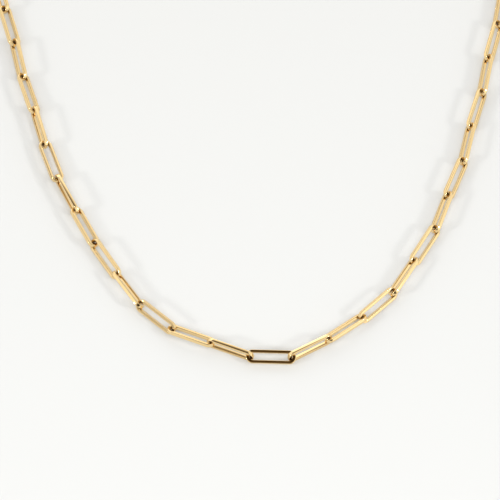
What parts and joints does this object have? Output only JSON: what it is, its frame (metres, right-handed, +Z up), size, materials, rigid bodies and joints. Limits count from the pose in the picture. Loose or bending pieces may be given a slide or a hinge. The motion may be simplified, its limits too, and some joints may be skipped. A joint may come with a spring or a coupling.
{
  "type": "paperclip chain necklace",
  "caption": "Gold-plated paperclip chain necklace lying as one closed loop, its long oval links of flat-faced wire joined at the back by a lobster clasp and jump rings.",
  "frame": {"origin": "middle of the space that the lying necklace takes, on the surface that it rests on", "axes": "+Z up from the surface, +Y from the low middle of the front to the clasp at the back, +X to the right as the wearer's front is seen"},
  "size_m": [0.1352, 0.159, 0.005],
  "materials": {
    "chain_gold": "polished warm yellow gold plate over brass, bright as a mirror on the flat faces of the wire",
    "clasp_gold": "polished gold plate over cast and turned brass, a little softer than the links"
  },
  "bodies": {
    "root": {"link_01": "chain_gold", "link_02": "chain_gold", "link_03": "chain_gold", "link_04": "chain_gold", "link_05": "chain_gold", "link_06": "chain_gold", "link_07": "chain_gold", "link_08": "chain_gold", "link_09": "chain_gold", "link_10": "chain_gold", "link_11": "chain_gold", "link_12": "chain_gold", "link_13": "chain_gold", "link_14": "chain_gold", "link_15": "chain_gold", "link_16": "chain_gold", "link_17": "chain_gold", "link_18": "chain_gold", "link_19": "chain_gold", "link_20": "chain_gold", "link_21": "chain_gold", "link_22": "chain_gold", "link_23": "chain_gold", "link_24": "chain_gold", "link_25": "chain_gold", "link_26": "chain_gold", "link_27": "chain_gold", "link_28": "chain_gold", "link_29": "chain_gold", "link_30": "chain_gold", "link_31": "chain_gold", "link_32": "chain_gold", "link_33": "chain_gold", "link_34": "chain_gold", "link_35": "chain_gold", "link_36": "chain_gold", "link_37": "chain_gold", "link_38": "chain_gold", "link_39": "chain_gold", "link_40": "chain_gold", "link_41": "chain_gold", "link_42": "chain_gold", "clasp_ring": "clasp_gold", "clasp": "clasp_gold", "end_ring": "clasp_gold"}
  },
  "joints": []
}
